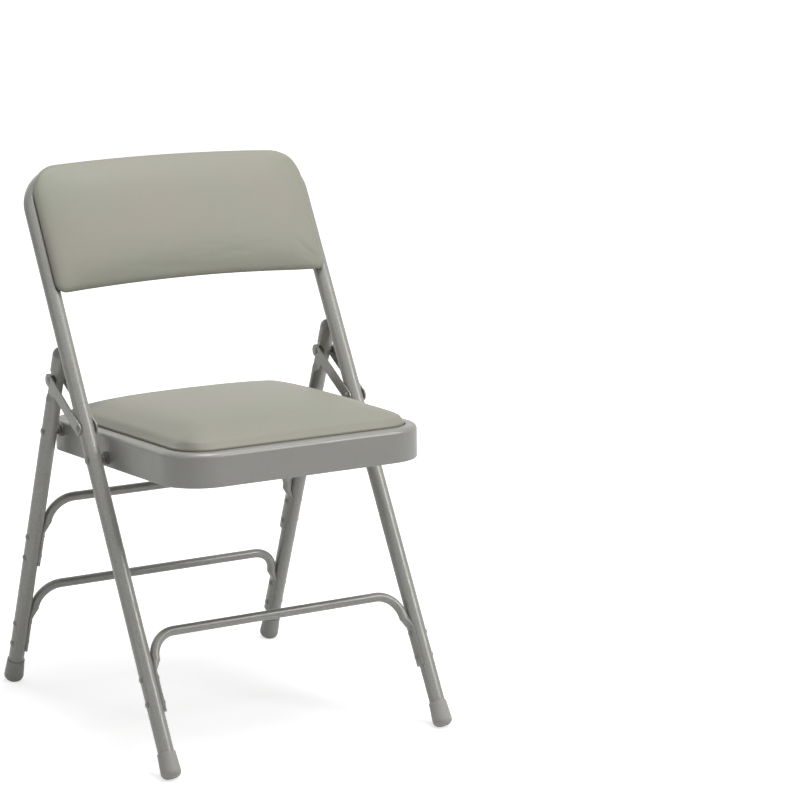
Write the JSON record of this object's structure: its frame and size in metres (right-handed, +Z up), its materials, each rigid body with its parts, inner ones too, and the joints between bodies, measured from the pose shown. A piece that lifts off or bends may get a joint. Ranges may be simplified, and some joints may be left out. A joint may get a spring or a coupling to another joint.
{
  "type": "folding chair",
  "caption": "Steel-tube folding chair with a padded vinyl seat and back, riveted side linkage, cross braces and plastic foot caps.",
  "frame": {"origin": "on the floor, at the centre of the open chair's bounding box", "axes": "+Z up, -Y towards the front where the sitter faces, +X to the sitter's left"},
  "size_m": [0.4568, 0.5096, 0.7624],
  "materials": {
    "frame_paint": "satin powder coat, warm grey",
    "pan_paint": "satin powder coat, warm grey",
    "rivet_steel": "coated rivet heads",
    "seat_vinyl": "sage-grey vinyl over foam",
    "back_vinyl": "sage-grey vinyl over foam",
    "cover_vinyl": "sage-grey vinyl panel",
    "board_wood": "raw plywood",
    "cap_plastic": "soft moulded plastic, grey",
    "plug_plastic": "moulded plastic, grey",
    "bush_plastic": "nylon, dark",
    "screw_steel": "zinc plated"
  },
  "bodies": {
    "frame": {"front_frame_tube": "frame_paint", "front_brace": "frame_paint", "front_brace_rivets": "rivet_steel", "front_foot_cap_left": "cap_plastic", "front_foot_cap_right": "cap_plastic", "seat_pivot_rivets": "rivet_steel", "seat_pivot_bushes": "bush_plastic", "link_pivot_rivets": "rivet_steel", "back_pad": "back_vinyl", "back_board": "board_wood", "back_cover": "cover_vinyl", "back_tabs": "frame_paint", "back_screws": "screw_steel"},
    "seat": {"seat_pan": "pan_paint", "seat_board": "board_wood", "seat_cushion": "seat_vinyl", "seat_screws": "screw_steel"},
    "rear_legs": {"rear_leg_left": "frame_paint", "rear_leg_right": "frame_paint", "rear_leg_plugs": "plug_plastic", "lower_rear_brace": "frame_paint", "upper_rear_brace": "frame_paint", "lower_brace_rivets": "rivet_steel", "upper_brace_rivets": "rivet_steel", "rear_foot_cap_left": "cap_plastic", "rear_foot_cap_right": "cap_plastic", "rear_pivot_rivets": "rivet_steel", "rear_pivot_bushes": "bush_plastic", "link_leg_pins": "rivet_steel"},
    "left_link": {"link_plates_left": "frame_paint", "link_rivets_left": "rivet_steel"},
    "right_link": {"link_plates_right": "frame_paint", "link_rivets_right": "rivet_steel"}
  },
  "joints": [
    {"name": "seat_fold", "type": "hinge", "parent": "frame", "child": "seat", "pos_m": [0, -0.02255, 0.38613], "axis": [-1, 0, 0], "range_deg": [0, 111.5]},
    {"name": "rear_leg_fold", "type": "hinge", "parent": "seat", "child": "rear_legs", "pos_m": [0, 0.11427, 0.39762], "axis": [1, 0, 0], "range_deg": [0, 63.2]},
    {"name": "left_link_swing", "type": "hinge", "parent": "frame", "child": "left_link", "pos_m": [0.213, 0.00033, 0.42536], "axis": [-1, 0, 0], "range_deg": [0, 131.6]},
    {"name": "right_link_swing", "type": "hinge", "parent": "frame", "child": "right_link", "pos_m": [-0.213, 0.00033, 0.42536], "axis": [-1, 0, 0], "range_deg": [0, 131.6]}
  ],
  "couplings": [
    {"joint": "rear_leg_fold", "follows": "seat_fold", "ratio": 0.56665},
    {"joint": "left_link_swing", "follows": "seat_fold", "ratio": 1.1801},
    {"joint": "right_link_swing", "follows": "seat_fold", "ratio": 1.1801}
  ]
}
